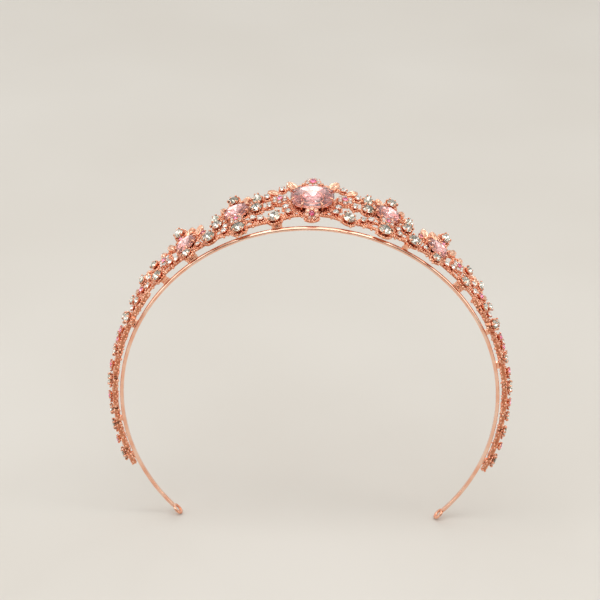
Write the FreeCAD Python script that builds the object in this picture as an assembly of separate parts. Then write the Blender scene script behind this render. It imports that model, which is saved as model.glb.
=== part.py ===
"""Bridal tiara: a half-round headband with a jewelled openwork wall soldered to it.

The arch stands upright in the XZ plane and the wall rises from the headband along +Y.
The origin is the centre of the headband's circle, halfway across the headband's width.
A place on the wall is given by two numbers. The angle, in degrees, is measured from the
top of the arch, positive towards +X. The height, in millimetres, is measured along Y from
the middle of the headband, and is the same as Y.
"""
import FreeCAD, Part
import math
import os

# Driving dimensions, in millimetres and degrees.
BAND_RADIUS = 68.0          # inner radius of the headband
BAND_THICKNESS = 1.3        # radial thickness of the headband at its middle
BAND_DOME = 0.6             # the headband is this much thinner at its edges
BAND_WIDTH = 1.9            # width of the headband along Y
BAND_END_ANGLE = 133.0      # the headband runs this far down each side
WALL_GAP = 1.85             # clear space between the headband and the wall at the top of the arch
SIDE_GAP = 1.0              # the side sections are cast deeper, to this distance from the headband
SIDE_DEEP = 3.0             # but only up to this height
SIDE_FROM = 54.6            # the side sections start this far down each side
WALL_THICKNESS = 0.8        # thickness of the cast openwork
WALL_FLARE = 7.0            # the wall leans outwards by this much as it rises
WALL_END_ANGLE = 114.5      # the wall ends this far down each side
RAIL_WIDTH = 1.3            # width of the lower rail
STEM_REACH = 2.6            # settings closer than this to the rail get a stem down to it
BAR_WIDTH = 1.15            # width of the bars between neighbouring settings
BAR_REACH = 2.4             # settings closer than this are joined by a bar
PAD_MARGIN = 0.4            # the openwork shows this far round each setting
PAD_HOLE = 0.44             # width of the hole behind each basket, as a share of its stone
WALL_TOP = 30.0             # the wall is cast no higher than this
WALL_DROP = 3.0             # and reaches no further than this below height 0
STRUT_DEPTH = 1.4           # width of the struts along Y, from height 0 up
STRUT_WAIST = 0.3           # radius of the notch in a strut's sides, as a share of the gap it spans
STRUT_HOLE = 0.16           # radius of the pin holes in the wider struts, as a share of the gap
STRUT_HOLES_FROM = 2.5      # struts at least this wide have pin holes
EYELET_REACH = 1.7          # distance from the headband's end to the eyelet's middle
EYELET_CLEAR = 0.05         # the eyelet stands this far out from the headband's inner face
EYELET_HOLE = 1.25          # radius of the hole in each end eyelet
EYELET_RIM = 2.3            # outer radius of each end eyelet
EYELET_THICKNESS = 0.9      # thickness of each end eyelet
CUP_WALL = 0.26             # metal around each stone's girdle
CUP_FLOOR = 0.3             # metal under each stone
CUP_FOOT = 0.62             # width of a closed cup's foot, as a share of its stone's width
BASKET_FOOT = 0.36          # width of an open basket's foot
BASKET_RIM = 0.7            # an open basket's cup stops this far down the stone's underside
BASKET_FLOOR_LEVEL = 0.15   # an open basket's foot stands this far above the wall's inner face
CUP_SINK = 0.12             # settings are soldered this deep into the wall's outer face
FIT = 0.02                  # clear space round each stone in its setting
HEART_RISE = 0.5            # a flower's middle stone stands this far above its petals
LEAF_HEIGHT = 1.3           # thickness of the polished leaves at the middle

# Proportions of a cut stone, as shares of its width.
CROWN = 0.17                # height from the girdle to the table
GIRDLE = 0.04               # thickness of the girdle
PAVILION = 0.36             # depth from the girdle to the culet
TABLE = 0.56                # width of the table
CULET = 0.14                # width of the flat at the bottom
BELLY = 0.66                # width of the middle ring of the lower facets
SHOULDER = 0.84             # width of the middle ring of the upper facets
BRILLIANT_FROM = 3.3        # stones this wide have two tiers of facets and open baskets
PINK_CROWN = 0.13           # the large pink stones are shallower than the clear ones
PINK_PAVILION = 0.17
PINK_BACK = 0.3             # width of the opening behind each large pink stone
PINK_CLAWS = 8              # claws round each large pink stone

BAND_OUTER = BAND_RADIUS + BAND_THICKNESS
BAND_SHOULDER = BAND_OUTER - BAND_DOME
WALL_RADIUS = BAND_OUTER + WALL_GAP
BAND_FRONT = -BAND_WIDTH / 2
FLARE = math.radians(WALL_FLARE)
CENTRE = FreeCAD.Vector(0, 0, 0)
LOCAL_Z = FreeCAD.Vector(0, 0, 1)

# The lower rail of one half, as (angle, height) of its middle line.
RAIL_POINTS = [(0, 3.9), (5.5, 3.3), (9.0, 1.4), (20.0, 1.0), (45.0, 1.2), (80.0, 1.5), (115.0, 1.6)]

# Stones of one half, given as (angle, height, width, length, outline, tilt).
# A positive tilt turns the stone's upper end away from the middle of the tiara.
LARGE_CRYSTALS = {
    "drop": (10.3, 2.2, 4.9, 6.4, "pear", -20),
    "low": (20.8, 0.2, 5.4, 5.4, "round", 0),
    "arch": (29.8, 2.2, 4.9, 5.6, "oval", 10),
}
TALL_CRYSTALS = [
    (15.6, 10.6, 4.6, 4.6, "round", 0),
    (15.4, 16.9, 3.6, 6.8, "marquise", 4),
    (27.3, 8.0, 4.4, 4.4, "round", 0),
    (27.9, 13.1, 3.4, 5.4, "pear", 6),
]
PEAK_CRYSTALS = [
    (22.2, 20.4, 4.0, 4.0, "round", 0),
    (40.0, 17.9, 4.2, 5.6, "pear", 0),
    (49.8, 11.2, 3.2, 3.2, "round", 0),
    (55.9, 12.4, 3.4, 4.6, "pear", 8),
    (61.0, 6.8, 3.0, 3.0, "round", 0),
    (66.3, 6.4, 2.8, 2.8, "round", 0),
]
SIDE_CRYSTALS = [
    (37.6, 0.9, 3.9, 3.9, "round", 0),
    (48.8, 1.7, 4.6, 4.6, "round", 0),
    (58.6, 1.7, 2.8, 2.8, "round", 0),
    (64.9, 1.9, 4.2, 4.2, "round", 0),
    (76.3, 2.5, 3.4, 3.4, "round", 0),
    (85.6, 2.6, 4.2, 4.2, "round", 0),
    (95.4, 2.6, 3.4, 3.4, "round", 0),
    (100.4, 2.6, 3.6, 3.6, "round", 0),
    (110.6, 2.3, 3.8, 5.2, "pear", 90),
]
SIDE_PINKS = [
    (31.8, 8.0, 2.0, 2.0, "round", 0),
    (39.4, 13.3, 2.0, 2.0, "round", 0),
    (56.2, 4.9, 2.6, 2.6, "round", 0),
    (69.5, 2.9, 2.6, 2.6, "round", 0),
    (72.6, 2.4, 2.4, 2.4, "round", 0),
    (80.7, 2.6, 2.8, 2.8, "round", 0),
    (90.7, 2.6, 2.6, 2.6, "round", 0),
    (105.5, 2.6, 2.8, 2.8, "round", 0),
]
SMALL_CRYSTALS = [
    (6.6, 4.9, 2.3, 2.3, "round", 0),
    (7.3, 8.3, 2.3, 2.3, "round", 0),
    (8.5, 20.6, 2.1, 2.1, "round", 0),
    (12.5, 16.9, 2.3, 2.3, "round", 0),
    (11.9, 10.6, 2.0, 2.0, "round", 0),
    (14.4, 3.1, 2.2, 2.2, "round", 0),
    (16.5, 4.6, 2.2, 2.2, "round", 0),
    (25.2, 2.3, 2.2, 2.2, "round", 0),
    (24.8, 5.2, 1.9, 1.9, "round", 0),
    (33.6, 2.4, 1.9, 1.9, "round", 0),
    (41.2, 1.9, 2.1, 2.1, "round", 0),
    (43.6, 3.2, 2.1, 2.1, "round", 0),
    (53.1, 2.6, 2.1, 2.1, "round", 0),
    (52.4, 6.6, 2.3, 2.3, "round", 0),
    (61.5, 2.5, 2.1, 2.1, "round", 0),
    (59.4, 4.6, 1.9, 1.9, "round", 0),
    (72.2, 5.2, 2.1, 2.1, "round", 0),
    (76.4, 5.8, 1.9, 1.9, "round", 0),
    (83.0, 4.2, 1.7, 1.7, "round", 0),
    (88.3, 4.2, 1.7, 1.7, "round", 0),
    (93.0, 3.8, 1.7, 1.7, "round", 0),
    (102.9, 4.0, 1.7, 1.7, "round", 0),
]
# Polished leaves of one half, given as (angle, height, width, length, tilt).
LEAVES = [
    (5.7, 22.4, 3.4, 7.4, 28),
    (10.9, 19.3, 3.0, 5.4, 50),
    (18.7, 17.9, 2.8, 5.6, -24),
    (25.2, 15.9, 2.6, 5.0, 26),
    (33.0, 11.6, 2.8, 6.2, -12),
    (36.3, 14.0, 2.6, 5.2, -30),
    (43.2, 12.6, 2.8, 6.0, 24),
    (46.2, 11.9, 2.4, 4.6, 14),
    (53.2, 10.4, 2.4, 4.8, -24),
    (58.4, 8.0, 2.4, 4.6, 34),
]
# Large pink stones, given as (angle, height, width, length, sides of the cut).
PINK_STONES = {
    "pink_centre": (0, 11.6, 15.6, 15.0, 16),
    "pink_inner": (21.3, 11.5, 9.4, 9.4, 14),
    "pink_outer": (37.5, 7.0, 8.8, 8.2, 12),
}
# Flowers, given as (angle, height, ring radius, number of petals, petal width).
FLOWERS = {
    "flower_front": (0, 1.5, 1.75, 7, 1.3),
    "flower_top": (0, 24.3, 2.15, 7, 1.6),
    "flower_side": (9.0, 13.8, 2.0, 6, 1.7),
    "flower_low": (21.2, 5.3, 1.75, 6, 1.5),
    "flower_outer": (45.6, 7.0, 1.85, 6, 1.6),
}
FLOWER_LIFT = {"flower_front": 1.0, "flower_low": 1.0}   # raised in front of a pink stone
FLOWER_NOD = {"flower_front": 45.0}    # turned this far from the wall, to face forwards

# Struts between the headband and the wall, given as angle and width along the arc.
STRUTS = {
    "strut_left_1": (-10.1, 3.8),
    "strut_left_2": (-37.3, 4.2),
    "strut_left_3": (-48.0, 2.8),
    "strut_left_4": (-65.2, 3.0),
    "strut_left_5": (-98.0, 1.8),
    "strut_left_6": (-111.2, 2.6),
    "strut_right_1": (28.4, 2.2),
    "strut_right_2": (48.6, 3.8),
    "strut_right_3": (65.8, 1.8),
    "strut_right_4": (77.4, 2.4),
    "strut_right_5": (111.2, 2.6),
}

# The wall is cast in sections that meet at these angles; a long one is bent in two steps.
WALL_SECTIONS = {
    "wall_centre": (-13.3, 13.3),
    "wall_inner_right": (13.3, 32.9),
    "wall_outer_right": (32.9, SIDE_FROM),
    "wall_side_right": (SIDE_FROM, 84.0, WALL_END_ANGLE),
    "wall_inner_left": (-32.9, -13.3),
    "wall_outer_left": (-SIDE_FROM, -32.9),
    "wall_side_left": (-WALL_END_ANGLE, -84.0, -SIDE_FROM),
}
SIDES = {"left": -1, "right": 1}
STONE_GROUPS = {
    "upper_crystals": TALL_CRYSTALS + PEAK_CRYSTALS,
    "side_crystals": SIDE_CRYSTALS,
    "small_pinks": SIDE_PINKS,
    "small_crystals": SMALL_CRYSTALS,
}
ALL_STONES = list(LARGE_CRYSTALS.values()) + sum(STONE_GROUPS.values(), [])
SECTION_MARGIN = 3.0        # pads this many degrees past a section's end still reach into it


def vector(x, y, z):
    return FreeCAD.Vector(x, y, z)


def wall_inner_radius(height):
    """Radius of the wall's inner face at a height."""
    return WALL_RADIUS + height * math.tan(FLARE)


def at_side(angle):
    return abs(angle) > SIDE_FROM


def side_radius():
    """Radius of the inner face of the side sections' deeper foot."""
    return BAND_OUTER + SIDE_GAP


def wall_placement(angle, height, lift=0.0, tilt=0.0):
    """Placement on the wall: local X along the arc, Y up the wall, Z outwards."""
    turn = math.radians(angle)
    radius = wall_inner_radius(height)
    along = vector(math.cos(turn), 0, -math.sin(turn))
    up = vector(math.sin(turn) * math.sin(FLARE), math.cos(FLARE), math.cos(turn) * math.sin(FLARE))
    out = along.cross(up)
    place = vector(radius * math.sin(turn), height, radius * math.cos(turn)) + out * lift
    rotation = FreeCAD.Rotation(along, up, out, "ZXY")
    return FreeCAD.Placement(place, rotation.multiply(FreeCAD.Rotation(LOCAL_Z, -tilt)))


def placed(shape, placement):
    """A copy of a shape, moved from the local origin to a place on the tiara."""
    copy = shape.copy()
    copy.transformShape(placement.toMatrix(), True)
    return copy


def outline(kind, width, length, count, shift=0.0):
    """Points of a stone's outline, as (x, y) pairs; shift is in steps round the outline."""
    points = []
    for step in range(count):
        turn = 2 * math.pi * (step + shift) / count
        across = math.sin(turn)
        along = math.cos(turn)
        if kind == "cushion":
            power = 2 / 2.5
            across = math.copysign(abs(across) ** power, across)
            along = math.copysign(abs(along) ** power, along)
        elif kind == "pear":
            across = 1.1 * across * abs(math.sin(turn / 2)) ** 0.75
        elif kind == "marquise":
            across = across * abs(across) ** 0.8
        points.append((across * width / 2, along * length / 2))
    return points


def ring(kind, width, length, count, share, level, shift=0.0):
    """One ring of corners of a cut stone, at a level above its girdle."""
    return [vector(x * share, y * share, level) for x, y in outline(kind, width, length, count, shift)]


def flat_face(points):
    return Part.Face(Part.makePolygon(points + [points[0]]))


def skin_between(lower, upper, half_step):
    """Flat facets between two rings; half_step says that the upper ring is turned by half a step."""
    faces = []
    count = len(lower)
    for step in range(count):
        after = (step + 1) % count
        if half_step:
            faces.append(flat_face([lower[step], lower[after], upper[step]]))
            faces.append(flat_face([lower[after], upper[after], upper[step]]))
        else:
            faces.append(flat_face([lower[step], lower[after], upper[after], upper[step]]))
    return faces


def solid_from(faces):
    shell = Part.makeShell(faces)
    shell.sewShape()
    solid = Part.makeSolid(shell)
    if solid.Volume < 0:
        solid.reverse()
    return solid


def cut_stone(kind, width, length, sides, crown, depth, brilliant):
    """A faceted stone with its girdle at z = 0; a brilliant cut has two tiers of facets."""
    half_girdle = GIRDLE * width / 2
    culet = ring(kind, width, length, sides, CULET, -depth)
    girdle_low = ring(kind, width, length, sides, 1.0, -half_girdle)
    girdle_high = ring(kind, width, length, sides, 1.0, half_girdle)
    table = ring(kind, width, length, sides, TABLE, crown)
    faces = [flat_face(culet), flat_face(table)]
    faces += skin_between(girdle_low, girdle_high, False)
    if brilliant:
        belly = ring(kind, width, length, sides, BELLY, -0.52 * depth, 0.5)
        shoulder = ring(kind, width, length, sides, SHOULDER, 0.62 * crown, 0.5)
        faces += skin_between(culet, belly, True)
        faces += skin_between(belly, girdle_low[1:] + girdle_low[:1], True)
        faces += skin_between(girdle_high, shoulder, True)
        faces += skin_between(shoulder, table[1:] + table[:1], True)
    else:
        faces += skin_between(culet, girdle_low, False)
        faces += skin_between(girdle_high, table, False)
    return solid_from(faces)


def closed_wire(kind, width, length, level, grow=0.0):
    """A closed outline at one level, grown by a margin all round."""
    points = []
    for x, y in outline(kind, width + 2 * grow, length + 2 * grow, 20):
        points.append(vector(x, y, level))
    if kind in ("pear", "marquise"):
        return Part.makePolygon(points + [points[0]])
    curve = Part.BSplineCurve()
    curve.interpolate(Points=points, PeriodicFlag=True)
    return Part.Wire([curve.toShape()])


def lofted(kind, width, length, sections):
    """A straight-sided solid through outlines given as (level, share of the size, margin)."""
    wires = []
    for level, share, grow in sections:
        wires.append(closed_wire(kind, width * share, length * share, level, grow))
    return Part.makeLoft(wires, True, True)


def stone_room(kind, width, length, crown, depth):
    """Solids that together fill a little more than a stone, to cut from its setting."""
    edge = GIRDLE * width / 2 + FIT
    below = lofted(kind, width, length, [(-depth - FIT, CULET, FIT), (-edge, 1.0, FIT)])
    around = lofted(kind, width, length, [(-edge, 1.0, FIT), (edge, 1.0, FIT)])
    above = lofted(kind, width, length, [(edge, 1.0, FIT), (crown + FIT, TABLE, 3 * FIT)])
    return [below, around, above]


def claw(x, y, low, high, radius):
    """A round claw with a domed tip, standing along the local Z axis."""
    post = Part.makeCylinder(radius, high - low, vector(x, y, low))
    return post.fuse(Part.makeSphere(radius, vector(x, y, high)))


def cup(kind, width, length, claws, crown, depth):
    """A closed cup for a small stone, with claws that reach over the stone's edge."""
    body = lofted(kind, width, length, [(-depth - CUP_FLOOR, CUP_FOOT, 0.0), (0.35 * crown, 1.0, CUP_WALL)])
    tips = []
    for x, y in outline(kind, width + CUP_WALL, length + CUP_WALL, claws, 0.5):
        tips.append(claw(x, y, -0.3 * depth, 0.5 * crown, 0.16 + 0.03 * width))
    return body.multiFuse(tips).cut(stone_room(kind, width, length, crown, depth))


def basket(kind, width, length, claws, crown, depth, back_share=0.0):
    """An open setting: a low cup under the stone, and long claws that leave its sides in view."""
    floor = -depth - CUP_FLOOR
    rim = -BASKET_RIM * depth
    rim_share = CULET + (1 - CULET) * (1 - BASKET_RIM)
    body = lofted(kind, width, length, [(floor, BASKET_FOOT, 0.0), (rim, rim_share, CUP_WALL)])
    radius = 0.2 + 0.028 * width
    parts = []
    for x, y in outline(kind, width, length, claws, 0.5):
        grow = 1 + CUP_WALL / width
        top = vector(x * grow, y * grow, -GIRDLE * width / 2)
        foot = vector(x * rim_share * grow, y * rim_share * grow, floor + radius)
        run = top - foot
        parts.append(Part.makeCylinder(radius, run.Length, foot, run))
        parts.append(Part.makeSphere(radius, foot))
        parts.append(claw(top.x, top.y, top.z, 0.5 * crown, radius))
        parts.append(Part.makeSphere(radius, top))
    rooms = stone_room(kind, width, length, crown, depth)
    if back_share:
        rooms.append(lofted(kind, width, length, [(floor - 1, back_share, 0.0), (0, back_share, 0.0)]))
    return body.multiFuse(parts).cut(rooms)


def cup_lift(depth):
    """Height of the girdle of a stone in a cup, above the wall's inner face."""
    return WALL_THICKNESS - CUP_SINK + CUP_FLOOR + depth


def basket_lift(depth):
    """Height of the girdle of a stone in a basket, above the wall's inner face."""
    return BASKET_FLOOR_LEVEL + CUP_FLOOR + depth


TEMPLATES = {}


def stone_and_setting(kind, width, length):
    """The stone and its setting about the local origin; each size is built once."""
    key = (kind, width, length)
    if key not in TEMPLATES:
        crown = CROWN * width
        depth = PAVILION * width
        sides = 12 if kind in ("pear", "marquise", "oval") else 8
        if width >= BRILLIANT_FROM:
            stone = cut_stone(kind, width, length, sides, crown, depth, True)
            holder = basket(kind, width, length, 6, crown, depth)
        else:
            stone = cut_stone(kind, width, length, sides, crown, depth, False)
            holder = cup(kind, width, length, 4, crown, depth)
        TEMPLATES[key] = (stone, holder)
    return TEMPLATES[key]


def set_stones(entries, side):
    """Stones and settings of one half; side is +1 for the right half and -1 for the left."""
    stones = []
    settings = []
    for angle, height, width, length, kind, tilt in entries:
        stone, holder = stone_and_setting(kind, width, length)
        depth = PAVILION * width
        lift = basket_lift(depth) if width >= BRILLIANT_FROM else cup_lift(depth)
        place = wall_placement(side * angle, height, lift, side * tilt)
        stones.append(placed(stone, place))
        settings.append(placed(holder, place))
    return stones, settings


def pink_stone_and_setting(name, side):
    """A large pink cushion-cut stone and its open-backed basket."""
    angle, height, width, length, sides = PINK_STONES[name]
    crown = PINK_CROWN * width
    depth = PINK_PAVILION * width
    stone = cut_stone("cushion", width, length, sides, crown, depth, True)
    holder = basket("cushion", width, length, PINK_CLAWS, crown, depth, PINK_BACK)
    place = wall_placement(side * angle, height, basket_lift(depth))
    return placed(stone, place), placed(holder, place)


def flower(name):
    """The cast flower, its petal stones and its middle stone about the local origin."""
    radius, petals, width = FLOWERS[name][2:]
    heart_width = 2 * radius - width - 0.2
    depth = PAVILION * width
    crown = CROWN * width
    top = depth + CUP_FLOOR + 0.3 * crown
    body = Part.makeCylinder(radius + 0.3 * width, 0.6 * top, vector(0, 0, -depth - CUP_FLOOR))
    parts = [Part.makeCylinder(heart_width / 2 + 0.15, top + HEART_RISE, vector(0, 0, -depth - CUP_FLOOR))]
    rooms = []
    stones = []
    stone = cut_stone("round", width, width, 8, crown, depth, False)
    room = stone_room("round", width, width, crown, depth)
    for step in range(petals):
        turn = 2 * math.pi * step / petals
        spot = vector(radius * math.sin(turn), radius * math.cos(turn), 0)
        parts.append(Part.makeCylinder(width / 2 + 0.18, top, spot + vector(0, 0, -depth - CUP_FLOOR)))
        between = turn + math.pi / petals
        reach = radius + 0.42 * width
        bead = vector(reach * math.sin(between), reach * math.cos(between), 0.0)
        parts.append(claw(bead.x, bead.y, -depth, 0.2 * crown, 0.24))
        stones.append(placed(stone, FreeCAD.Placement(spot, FreeCAD.Rotation())))
        for piece in room:
            rooms.append(placed(piece, FreeCAD.Placement(spot, FreeCAD.Rotation())))
    heart_crown = CROWN * heart_width
    heart_depth = PAVILION * heart_width
    heart = cut_stone("round", heart_width, heart_width, 8, heart_crown, heart_depth, False)
    raised = FreeCAD.Placement(vector(0, 0, HEART_RISE), FreeCAD.Rotation())
    for piece in stone_room("round", heart_width, heart_width, heart_crown, heart_depth):
        rooms.append(placed(piece, raised))
    return body.multiFuse(parts).cut(rooms), stones, placed(heart, raised)


def leaf(width, length):
    """A polished marquise leaf: a pointed oval plate with a domed face and a fine midrib."""
    edge = closed_wire("marquise", width, length, 0.0)
    plate = Part.Face(edge).extrude(vector(0, 0, LEAF_HEIGHT))
    dome_radius = (width * width / 4 + LEAF_HEIGHT * LEAF_HEIGHT) / (2 * LEAF_HEIGHT) + 0.25
    axis_level = LEAF_HEIGHT - dome_radius
    dome = Part.makeCylinder(dome_radius, length, vector(0, -length / 2, axis_level), vector(0, 1, 0))
    rib = Part.makeCylinder(0.22, 0.8 * length, vector(0, -0.4 * length, LEAF_HEIGHT), vector(0, 1, 0))
    return plate.common(dome).fuse(rib)


def swept(face, start, end):
    """A solid swept about the Y axis from one angle to another, from a face in the YZ plane."""
    face.rotate(CENTRE, vector(0, 1, 0), start)
    return face.revolve(CENTRE, vector(0, 1, 0), end - start)


def arc_sector(profile, start, end):
    """A solid swept about the Y axis; profile is (radius, y) corners."""
    return swept(flat_face([vector(0, y, radius) for radius, y in profile]), start, end)


def headband():
    """The half-round band that sits on the head: flat inside, domed outside."""
    front = vector(0, BAND_FRONT, BAND_SHOULDER)
    back = vector(0, -BAND_FRONT, BAND_SHOULDER)
    dome = Part.Arc(front, vector(0, 0, BAND_OUTER), back).toShape()
    inner_back = vector(0, -BAND_FRONT, BAND_RADIUS)
    inner_front = vector(0, BAND_FRONT, BAND_RADIUS)
    flat_sides = Part.makePolygon([back, inner_back, inner_front, front])
    section = Part.Face(Part.Wire([dome] + flat_sides.Edges))
    return swept(section, -BAND_END_ANGLE, BAND_END_ANGLE)


def eyelet(side, strip):
    """A flat ring soldered to the end of the headband, its hole facing the head."""
    turn = math.radians(side * (BAND_END_ANGLE + math.degrees(EYELET_REACH / BAND_RADIUS)))
    out = vector(math.sin(turn), 0, math.cos(turn))
    inner = out * (BAND_RADIUS + EYELET_CLEAR)
    ring_plate = Part.makeCylinder(EYELET_RIM, EYELET_THICKNESS, inner, out)
    hole = Part.makeCylinder(EYELET_HOLE, 4 * EYELET_THICKNESS, inner - out * EYELET_THICKNESS, out)
    return ring_plate.cut([hole, strip])


def strut(angle, width, strip):
    """A plate from the headband to the wall, waisted at both sides; a wide one has two pin holes."""
    half = math.degrees(width / 2 / BAND_OUTER)
    near = side_radius() if at_side(angle) else wall_inner_radius(0)
    far = side_radius() if at_side(angle) else wall_inner_radius(STRUT_DEPTH)
    profile = [(BAND_SHOULDER, 0), (near, 0), (far, STRUT_DEPTH), (BAND_SHOULDER, STRUT_DEPTH)]
    plate = arc_sector(profile, angle - half, angle + half)
    gap = near - BAND_OUTER
    middle = BAND_OUTER + gap / 2
    cuts = [strip]
    for edge in (-1, 1):
        turn = math.radians(angle + edge * half * 1.25)
        spot = vector(middle * math.sin(turn), -1, middle * math.cos(turn))
        cuts.append(Part.makeCylinder(STRUT_WAIST * gap, STRUT_DEPTH + 2, spot, vector(0, 1, 0)))
        if width >= STRUT_HOLES_FROM:
            turn = math.radians(angle + edge * half * 0.45)
            spot = vector(middle * math.sin(turn), -1, middle * math.cos(turn))
            cuts.append(Part.makeCylinder(STRUT_HOLE * gap, STRUT_DEPTH + 2, spot, vector(0, 1, 0)))
    return plate.cut(cuts)


def sides_of(angle):
    """A place on the middle line is used once, and any other on both halves."""
    return (1,) if angle == 0 else (-1, 1)


def pads():
    """Every place the openwork carries: (angle, height, half width, half length, tilt, has a hole)."""
    places = []
    for angle, height, width, length, kind, tilt in ALL_STONES:
        for side in sides_of(angle):
            open_back = width >= BRILLIANT_FROM
            places.append((side * angle, height, width / 2, length / 2, side * tilt, open_back))
    for angle, height, width, length, sides in PINK_STONES.values():
        for side in sides_of(angle):
            places.append((side * angle, height, width / 2, length / 2, 0, True))
    for angle, height, width, length, tilt in LEAVES:
        for side in sides_of(angle):
            places.append((side * angle, height, 0.36 * width, 0.44 * length, side * tilt, False))
    for angle, height, radius, petals, width in FLOWERS.values():
        reach = radius + width / 2
        for side in sides_of(angle):
            places.append((side * angle, height, reach, reach, 0, False))
    return places


def oval_face(middle, half_width, half_length, tilt):
    """A round or elliptical face in the drawing plane."""
    turn = math.radians(tilt)
    if abs(half_length - half_width) < 0.01:
        edge = Part.Circle(middle, LOCAL_Z, half_width).toShape()
        return Part.Face(Part.Wire([edge]))
    lengthways = vector(math.sin(turn), math.cos(turn), 0) * half_length
    sideways = vector(math.cos(turn), -math.sin(turn), 0) * half_width
    longer, shorter = (lengthways, sideways) if half_length > half_width else (sideways, lengthways)
    edge = Part.Ellipse(middle + longer, middle + shorter, middle).toShape()
    return Part.Face(Part.Wire([edge]))


def bar_face(start, end, width):
    """A straight bar between two points of the drawing plane."""
    run = end - start
    side = vector(-run.y, run.x, 0).normalize() * (width / 2)
    return flat_face([start - side, end - side, end + side, start + side])


def rail_height(angle):
    """Height of the lower rail's middle line at an angle, between its listed points."""
    for (first, low), (second, high) in zip(RAIL_POINTS, RAIL_POINTS[1:]):
        if first <= abs(angle) <= second:
            return low + (high - low) * (abs(angle) - first) / (second - first)


def drawn_point(angle, height, middle):
    """A place on the wall in the drawing plane, whose middle line is at the middle angle."""
    return vector(wall_inner_radius(height) * math.sin(math.radians(angle - middle)), height, 0)


def openwork(start, end):
    """Cast openwork between two angles: pads under the settings, joined by bars and a lower rail."""
    middle = (start + end) / 2
    faces = []
    holes = []
    spots = []
    for angle, height, half_width, half_length, tilt, open_back in pads():
        if not start - SECTION_MARGIN < angle < end + SECTION_MARGIN:
            continue
        spot = drawn_point(angle, height, middle)
        spots.append((spot, (half_width + half_length) / 2))
        faces.append(oval_face(spot, half_width + PAD_MARGIN, half_length + PAD_MARGIN, tilt))
        if open_back:
            holes.append(oval_face(spot, PAD_HOLE * half_width, PAD_HOLE * half_length, tilt))
        low = rail_height(angle)
        if height - half_length - low < STEM_REACH:
            faces.append(bar_face(spot, drawn_point(angle, low, middle), BAR_WIDTH))
    for first, (spot, reach) in enumerate(spots):
        for other, other_reach in spots[:first]:
            if 0.2 < spot.distanceToPoint(other) - reach - other_reach < BAR_REACH:
                faces.append(bar_face(spot, other, BAR_WIDTH))
    rail = [(-angle, height) for angle, height in reversed(RAIL_POINTS[1:])] + RAIL_POINTS
    for (first, low), (second, high) in zip(rail, rail[1:]):
        if second > start and first < end:
            near = drawn_point(max(first, start - SECTION_MARGIN), low, middle)
            far = drawn_point(min(second, end + SECTION_MARGIN), high, middle)
            faces.append(bar_face(near, far, RAIL_WIDTH))
            faces.append(oval_face(far, RAIL_WIDTH / 2, RAIL_WIDTH / 2, 0))
    reach = vector(0, 0, 2 * WALL_RADIUS)
    drawn = [face.extrude(reach) for face in faces]
    drawn = drawn[0].multiFuse(drawn[1:]).cut([hole.extrude(reach) for hole in holes])
    low = wall_inner_radius(-WALL_DROP)
    high = wall_inner_radius(WALL_TOP)
    profile = [(low + WALL_THICKNESS, -WALL_DROP), (high + WALL_THICKNESS, WALL_TOP), (high, WALL_TOP)]
    if at_side(middle):
        profile.append((wall_inner_radius(SIDE_DEEP), SIDE_DEEP))
        profile.append((side_radius(), SIDE_DEEP))
        profile.append((side_radius(), -WALL_DROP))
    else:
        profile.append((low, -WALL_DROP))
    plate = arc_sector(profile, start - middle, end - middle)
    section = max(plate.common(drawn).Solids, key=lambda solid: solid.Volume)
    section.rotate(CENTRE, vector(0, 1, 0), middle)
    return section


def save(name, solids):
    """Write one node: a single solid, or a group of separate solids."""
    pieces = []
    for shape in solids:
        pieces += shape.Solids
    shape = pieces[0] if len(pieces) == 1 else Part.makeCompound(pieces)
    if not shape.isValid():
        print("not valid:", name)
    shape.exportStep(os.path.join("parts", name + ".step"))
    print(name, len(pieces), round(shape.Volume, 1))


def save_band():
    strip = headband()
    save("headband", [strip])
    for label, side in SIDES.items():
        save("eyelet_" + label, [eyelet(side, strip)])
    for name, (angle, width) in STRUTS.items():
        save(name, [strut(angle, width, strip)])


def save_wall():
    for name, angles in WALL_SECTIONS.items():
        pieces = []
        for start, end in zip(angles, angles[1:]):
            pieces.append(openwork(start, end))
        section = pieces[0].multiFuse(pieces[1:]).removeSplitter() if len(pieces) > 1 else pieces[0]
        save(name, [section])


def save_pink_stones():
    for name, (angle, height, width, length, sides) in PINK_STONES.items():
        for side in sides_of(angle):
            label = name if angle == 0 else name + ("_right" if side > 0 else "_left")
            stone, cup = pink_stone_and_setting(name, side)
            save(label, [stone])
            save(label.replace("pink", "setting"), [cup])


def under_the_wall(angle):
    """The space behind the wall's outer face near an angle, less the depth of a soldered joint."""
    reach = WALL_THICKNESS - CUP_SINK
    low = wall_inner_radius(-WALL_DROP) + reach
    high = wall_inner_radius(WALL_TOP) + reach
    profile = [(BAND_OUTER, -WALL_DROP), (low, -WALL_DROP), (high, WALL_TOP), (BAND_OUTER, WALL_TOP)]
    return arc_sector(profile, angle - 2 * SECTION_MARGIN, angle + 2 * SECTION_MARGIN)


def save_flowers():
    petal_stones = []
    hearts = []
    for name, (angle, height, radius, petals, width) in FLOWERS.items():
        body, stones, heart = flower(name)
        for side in sides_of(angle):
            label = name if angle == 0 else name + ("_right" if side > 0 else "_left")
            lift = cup_lift(PAVILION * width) + FLOWER_LIFT.get(name, 0.0)
            nod = FreeCAD.Rotation(vector(1, 0, 0), FLOWER_NOD.get(name, 0.0))
            place = wall_placement(side * angle, height, lift).multiply(FreeCAD.Placement(CENTRE, nod))
            save(label, [placed(body, place).cut(under_the_wall(side * angle))])
            petal_stones += [placed(stone, place) for stone in stones]
            hearts.append(placed(heart, place))
    save("flower_crystals", petal_stones)
    save("flower_hearts", hearts)


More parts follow.
